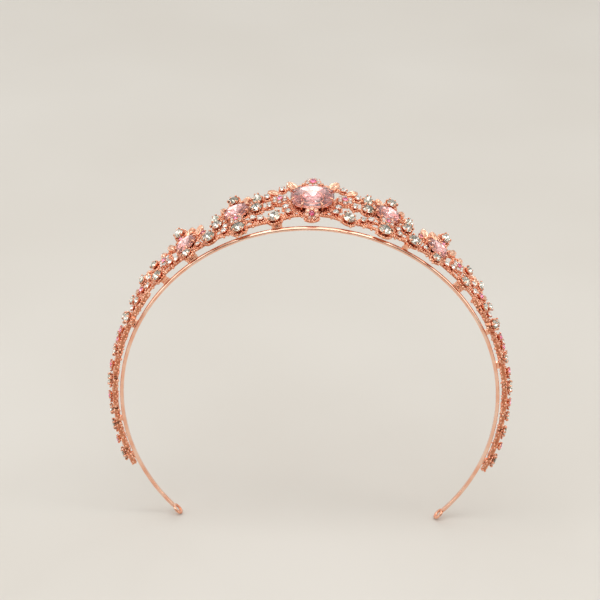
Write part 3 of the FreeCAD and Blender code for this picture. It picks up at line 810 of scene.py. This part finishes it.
def granulation(node, taken, material):
    """Small beads packed over the bare outer face and the edges of a wall section."""
    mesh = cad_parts[node].data
    mesh.calc_loop_triangles()
    corners = np.array([[mesh.vertices[corner].co for corner in triangle.vertices]
                        for triangle in mesh.loop_triangles])
    normals = np.cross(corners[:, 1] - corners[:, 0], corners[:, 2] - corners[:, 0])
    areas = np.linalg.norm(normals, axis=1) / 2
    normals /= 2 * np.maximum(areas, 1e-15)[:, None]
    radial = corners.mean(axis=1) * (1, 0, 1)
    radial /= np.linalg.norm(radial, axis=1)[:, None]
    chances = np.where((normals * radial).sum(axis=1) > -0.4, areas, 0.0)
    draws = np.random.default_rng(len(mesh.vertices))
    count = int(GRAIN_TRIES * chances.sum() / GRAIN_STEP ** 2)
    picked = draws.choice(len(areas), size=count, p=chances / chances.sum())
    first, second = np.sqrt(draws.random(count)), draws.random(count)
    shares = np.stack([1 - first, first * (1 - second), first * second], axis=1)
    spots = (corners[picked] * shares[:, :, None]).sum(axis=1)
    bare = np.ones(count, dtype=bool)
    for spot, room in taken:
        bare &= np.linalg.norm(spots - np.array(spot), axis=1) > room
    pile = Pile()
    cells = {}
    for spot, normal in zip(spots[bare], normals[picked][bare]):
        spot = Vector(spot)
        normal = Vector(normal)
        on_edge = normal.y < -0.5
        room = EDGE_STEP if on_edge else GRAIN_STEP
        cell = tuple(int(part // EDGE_STEP) for part in spot)
        near = [other for x in (-1, 0, 1) for y in (-1, 0, 1) for z in (-1, 0, 1)
                for other in cells.get((cell[0] + x, cell[1] + y, cell[2] + z), ())]
        if any((spot - other).length_squared < room * room for other in near):
            continue
        cells.setdefault(cell, []).append(spot)
        radius = draws.uniform(*(EDGE_BEADS if on_edge else GRAIN_BEADS))
        bead(pile, spot - normal * BEAD_SINK * radius * MM, radius * MM)
    pile.piece(node + "_grain", [material], True, "rose_gold_cast")


# Materials

def new_material(name, **values):
    material = bpy.data.materials.new(name)
    material.use_nodes = True
    shader = material.node_tree.nodes["Principled BSDF"]
    for key, value in values.items():
        shader.inputs[key.replace("_", " ")].default_value = value
    return material, material.node_tree, shader


def noise(tree, scale, detail=3.0, coordinates=None):
    node = tree.nodes.new("ShaderNodeTexNoise")
    node.inputs["Scale"].default_value = scale
    node.inputs["Detail"].default_value = detail
    if coordinates is None:
        coordinates = tree.nodes.new("ShaderNodeTexCoord").outputs["Object"]
    tree.links.new(coordinates, node.inputs["Vector"])
    return node.outputs["Fac"]


def ramp(tree, factor, stops):
    """Colours or greys at positions along a factor."""
    node = tree.nodes.new("ShaderNodeValToRGB")
    elements = node.color_ramp.elements
    while len(elements) < len(stops):
        elements.new(0.5)
    for element, (position, colour) in zip(elements, stops):
        element.position = position
        element.color = (*colour, 1) if isinstance(colour, tuple) else (colour, colour, colour, 1)
    tree.links.new(factor, node.inputs["Fac"])
    return node.outputs["Color"]


def bump(tree, shader, height, strength, distance):
    node = tree.nodes.new("ShaderNodeBump")
    node.inputs["Strength"].default_value = strength
    node.inputs["Distance"].default_value = distance
    tree.links.new(height, node.inputs["Height"])
    tree.links.new(node.outputs["Normal"], shader.inputs["Normal"])


def rose_gold(name, pale, deep, smooth, rough, grain, depth, hollow_shade=False):
    """Rose gold plate between two colours and two roughnesses, with a fine grain.

    With painted shade asked for, the plate is darker in its hollows, where shadow falls.
    """
    material, tree, shader = new_material(name, Metallic=1.0)
    colour = ramp(tree, noise(tree, 420.0), [(0.35, deep), (0.65, pale)])
    # Painted shade: the hollows, found by pointiness, take a darker copy of the deep colour.
    if hollow_shade:
        geometry = tree.nodes.new("ShaderNodeNewGeometry")
        hollow_shade_mask = ramp(tree, geometry.outputs["Pointiness"], [(0.44, 0.0), (0.53, 1.0)])
        mix = tree.nodes.new("ShaderNodeMix")
        mix.data_type = "RGBA"
        mix.inputs["A"].default_value = (*[part * 0.55 for part in deep], 1)
        tree.links.new(hollow_shade_mask, mix.inputs["Factor"])
        tree.links.new(colour, mix.inputs["B"])
        colour = mix.outputs["Result"]
    tree.links.new(colour, shader.inputs["Base Color"])
    polish = ramp(tree, noise(tree, 900.0), [(0.3, smooth), (0.7, rough)])
    tree.links.new(polish, shader.inputs["Roughness"])
    bump(tree, shader, noise(tree, grain, 4.0), 0.5, depth)
    return material


def polished_band(pale, deep):
    """The headband's plate, with hairline scratches that run along it."""
    material, tree, shader = new_material("rose_gold_polished", Metallic=1.0)
    along = tree.nodes.new("ShaderNodeUVMap")
    along.uv_map = "along"
    stretch = tree.nodes.new("ShaderNodeMapping")
    stretch.inputs["Scale"].default_value = (0.25, 14.0, 1.0)
    tree.links.new(along.outputs["UV"], stretch.inputs["Vector"])
    hairs = noise(tree, 2.0, 4.0, stretch.outputs["Vector"])
    colour = ramp(tree, noise(tree, 160.0), [(0.35, deep), (0.65, pale)])
    tree.links.new(colour, shader.inputs["Base Color"])
    tree.links.new(ramp(tree, hairs, [(0.3, 0.07), (0.75, 0.2)]), shader.inputs["Roughness"])
    bump(tree, shader, hairs, 0.25, 0.01 * MM)
    return material


def crystal(name, tint, clear=1.0):
    """The upper part of a stone; clear is its share of glass, and a faint haze varies by facet."""
    material, tree, shader = new_material(
        name, Base_Color=(*tint, 1), IOR=1.55, Transmission_Weight=clear, Specular_IOR_Level=0.6)
    tone = tree.nodes.new("ShaderNodeAttribute")
    tone.attribute_name = "tone"
    haze = ramp(tree, tone.outputs["Fac"], [(0.0, 0.0), (1.0, 0.03)])
    tree.links.new(haze, shader.inputs["Roughness"])
    return material


def foil(name, stops, mirror=1.0, rough=0.09):
    """The foil behind a stone, a mirror by the given share; its tone varies from facet to facet."""
    material, tree, shader = new_material(name, Metallic=mirror)
    tone = tree.nodes.new("ShaderNodeAttribute")
    tone.attribute_name = "tone"
    tree.links.new(ramp(tree, tone.outputs["Fac"], stops), shader.inputs["Base Color"])
    polish = ramp(tree, noise(tree, 1500.0), [(0.3, 0.02), (0.7, rough)])
    tree.links.new(polish, shader.inputs["Roughness"])
    return material


# The tiara

PALE = (0.97, 0.57, 0.41)
DEEP = (0.88, 0.39, 0.24)
band_metal = polished_band((1.0, 0.69, 0.54), (0.93, 0.48, 0.33))
setting_metal = rose_gold(
    "rose_gold_setting", PALE, DEEP,
    smooth=0.1, rough=0.24, grain=2600.0, depth=0.02 * MM)
# Painted shade: the openwork's rose gold is darker than the rest, standing in for the shade between its
# beads, and its hollows are darker still.
shaded_cast_metal = rose_gold(
    "rose_gold_cast", (0.85, 0.38, 0.22), (0.62, 0.2, 0.1),
    smooth=0.14, rough=0.32, grain=3200.0, depth=0.05 * MM, hollow_shade=True)
grain_metal = rose_gold(
    "rose_gold_grain", (1.0, 0.66, 0.5), (0.9, 0.42, 0.27),
    smooth=0.05, rough=0.14, grain=1800.0, depth=0.01 * MM)
leaf_metal = rose_gold(
    "rose_gold_leaf", (0.97, 0.62, 0.46), (0.92, 0.46, 0.30),
    smooth=0.06, rough=0.16, grain=1400.0, depth=0.01 * MM)
clear_glass = crystal("clear_crystal", (0.99, 0.99, 0.97))
milky_glass = crystal("small_clear_crystal", (1.0, 1.0, 0.98), 0.8)
pink_glass = crystal("pale_pink_crystal", (1.0, 0.82, 0.82))
deep_glass = crystal("deep_pink_crystal", (0.98, 0.62, 0.74))
clear_foil = foil("clear_foil", [
    (0.0, (0.26, 0.26, 0.2)), (0.35, (0.66, 0.66, 0.58)), (0.7, (0.98, 0.98, 0.96))])
small_foil = foil("small_clear_foil", [
    (0.0, (0.5, 0.49, 0.42)), (0.3, (0.9, 0.9, 0.86)), (0.6, (1.0, 1.0, 1.0))])
pink_foil = foil("pink_foil", [
    (0.0, (0.95, 0.52, 0.52)), (0.4, (1.0, 0.7, 0.7)), (1.0, (1.0, 0.88, 0.88))],
    mirror=0.8, rough=0.13)
deep_foil = foil("deep_pink_foil", [
    (0.0, (0.5, 0.1, 0.22)), (0.5, (0.9, 0.35, 0.52)), (1.0, (0.98, 0.7, 0.8))])

headband(band_metal)
for node in NODE_NAMES:
    if node.startswith("eyelet"):
        eyelet(node, setting_metal)
    if node.startswith("strut"):
        softened(node, "_plate", setting_metal, "rose_gold_polished",
                 [("BEVEL", {"width": 0.1 * MM, "segments": 3, "angle_limit": math.radians(40)})])

taken = []                     # place and radius of the spots that the cast beads leave free
wall = wall_surface()
for side in ("left", "right"):
    pile = Pile()
    large = []
    for kind in ("crystal_drop", "crystal_low", "crystal_arch"):
        large += cut_stones(f"{kind}_{side}", clear_glass, clear_foil, "clear_stone", 8)
    upper = cut_stones(f"upper_crystals_{side}", clear_glass, clear_foil, "clear_stone", 8)
    sides = cut_stones(f"side_crystals_{side}", clear_glass, clear_foil, "clear_stone", 8)
    pinks = cut_stones(f"small_pinks_{side}", deep_glass, deep_foil, "deep_pink_stone", 8)
    small = cut_stones(f"small_crystals_{side}", milky_glass, small_foil, "clear_stone", 6, 1.3)
    for stone in large + upper + sides + pinks + small:
        if stone.width >= LARGE_STONE * 0.9 and stone.size >= LARGE_STONE:
            basket(pile, stone, 6)
        else:
            cup(pile, stone)
        foot_bar(pile, stone, wall)
        taken.append((stone.place @ Vector((0, 0, -stone.depth)), 0.42 * stone.size))
    pile.piece(f"settings_{side}_claws", [setting_metal], True, "rose_gold_setting", f"settings_{side}")
    leaves(f"leaves_{side}", leaf_metal)

for node in NODE_NAMES:
    if node.startswith("pink_"):
        stone = cut_stones(node, pink_glass, pink_foil, "pale_pink_stone", 12)[0]
        pile = Pile()
        basket(pile, stone, 8)
        pearled_rim(pile, stone, 0.1 * MM, -stone.depth - 0.1 * MM, RIM_BEAD)
        holder = node.replace("pink", "setting")
        pile.piece(holder + "_claws", [setting_metal], True, "rose_gold_setting", holder)
        taken.append((stone.place @ Vector((0, 0, -stone.depth)), 0.40 * stone.size))

hearts = cut_stones("flower_hearts", deep_glass, deep_foil, "deep_pink_stone", 6, 1.5)
petals = cut_stones("flower_crystals", milky_glass, small_foil, "clear_stone", 6, 1.7)
for node in NODE_NAMES:
    if node.startswith("flower") and node not in ("flower_hearts", "flower_crystals"):
        low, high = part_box(node)
        middle = (low + high) / 2
        heart = nearest(hearts, middle)
        around = [petal for petal in petals if nearest(hearts, petal.place.translation) is heart]
        flower(node, heart, around, setting_metal)
        taken.append((heart.place.translation, 0.6 * (high - low).length / 2))

for node in NODE_NAMES:
    if node.startswith("wall_"):
        softened(node, "_openwork", shaded_cast_metal, "rose_gold_cast", [
            ("REMESH", {"mode": "VOXEL", "voxel_size": WALL_VOXEL, "use_smooth_shade": True}),
            ("SMOOTH", {"factor": 0.5, "iterations": 3}),
        ])
        granulation(node, taken, grain_metal)


# Floor, light and camera

def floor():
    material, tree, shader = new_material("floor_cloth", Roughness=0.9)
    colour = ramp(tree, noise(tree, 6.0, 2.0), [
        (0.3, (0.61, 0.585, 0.545)), (0.7, (0.645, 0.625, 0.59))])
    tree.links.new(colour, shader.inputs["Base Color"])
    bump(tree, shader, noise(tree, 60.0, 2.0), 0.1, 1 * MM)
    mesh = bpy.data.meshes.new("floor")
    work = bmesh.new()
    bmesh.ops.create_circle(work, cap_ends=True, segments=96, radius=FLOOR_RADIUS)
    work.to_mesh(mesh)
    work.free()
    mesh.materials.append(material)
    ground = bpy.data.objects.new("floor", mesh)
    bpy.context.scene.collection.objects.link(ground)
    ground.location.z = CAD_LOW.z - FLOOR_GAP


def softbox(name, place, size, energy, colour):
    light = bpy.data.lights.new(name, "AREA")
    light.shape = "RECTANGLE"
    light.size, light.size_y = size
    light.energy = energy
    light.color = colour
    lamp = bpy.data.objects.new(name, light)
    lamp.location = place
    aim = Vector((0, 0, 0.02)) - Vector(place)
    lamp.rotation_euler = aim.to_track_quat("-Z", "Y").to_euler()
    lamp.visible_camera = False
    bpy.context.scene.collection.objects.link(lamp)


def studio():
    """Pale surroundings, brighter behind the tiara than behind the camera."""
    world = bpy.data.worlds.new("studio")
    world.use_nodes = True
    tree = world.node_tree
    away = tree.nodes.new("ShaderNodeSeparateXYZ")
    tree.links.new(tree.nodes.new("ShaderNodeTexCoord").outputs["Generated"], away.inputs["Vector"])
    level = tree.nodes.new("ShaderNodeMapRange")
    level.inputs["From Min"].default_value = -1.0
    tree.links.new(away.outputs["Y"], level.inputs["Value"])
    shades = [(0.0, (0.14, 0.135, 0.125)), (0.12, (0.2, 0.19, 0.18)), (0.34, (0.52, 0.5, 0.475)),
              (0.7, (0.76, 0.74, 0.7))]
    shade = ramp(tree, level.outputs["Result"], shades)
    tree.links.new(shade, tree.nodes["Background"].inputs["Color"])
    bpy.context.scene.world = world


def camera():
    azimuth, elevation = CAMERA_AZIMUTH, CAMERA_ELEVATION
    back = Vector((math.sin(azimuth) * math.cos(elevation), -math.cos(azimuth) * math.cos(elevation),
                   math.sin(elevation)))
    right = Vector((math.cos(azimuth), math.sin(azimuth), 0))
    up = back.cross(right)
    rolled_right = right * math.cos(CAMERA_ROLL) + up * math.sin(CAMERA_ROLL)
    rolled_up = up * math.cos(CAMERA_ROLL) - right * math.sin(CAMERA_ROLL)
    data = bpy.data.cameras.new("camera")
    data.lens = CAMERA_LENS
    data.sensor_width = 36.0
    data.clip_start = 0.05
    data.clip_end = 20.0
    view = bpy.data.objects.new("camera", data)
    turn = Matrix((rolled_right, rolled_up, back)).transposed()
    view.matrix_world = Matrix.LocRotScale(CAMERA_TARGET + back * CAMERA_DISTANCE, turn, None)
    bpy.context.scene.collection.objects.link(view)
    bpy.context.scene.camera = view


floor()
softbox("back_panel", (-0.1, 1.6, 0.95), (2.8, 1.5), 4.0, (1.0, 0.99, 0.97))
softbox("overhead_panel", (0.0, -0.4, 1.15), (1.6, 1.15), 9.0, (1.0, 0.99, 0.97))
for index, place in enumerate(LAMPS):
    softbox(f"lamp_{index}", place, LAMP_SIZE, LAMP_ENERGY, (1.0, 0.99, 0.97))
softbox("left_softbox", (-1.3, -0.4, 0.6), (0.8, 0.9), 3.0, (1.0, 0.98, 0.95))
softbox("right_softbox", (1.3, -0.2, 0.6), (0.7, 0.9), 2.5, (1.0, 0.97, 0.93))
camera()
studio()
bpy.context.scene.view_settings.view_transform = "Standard"
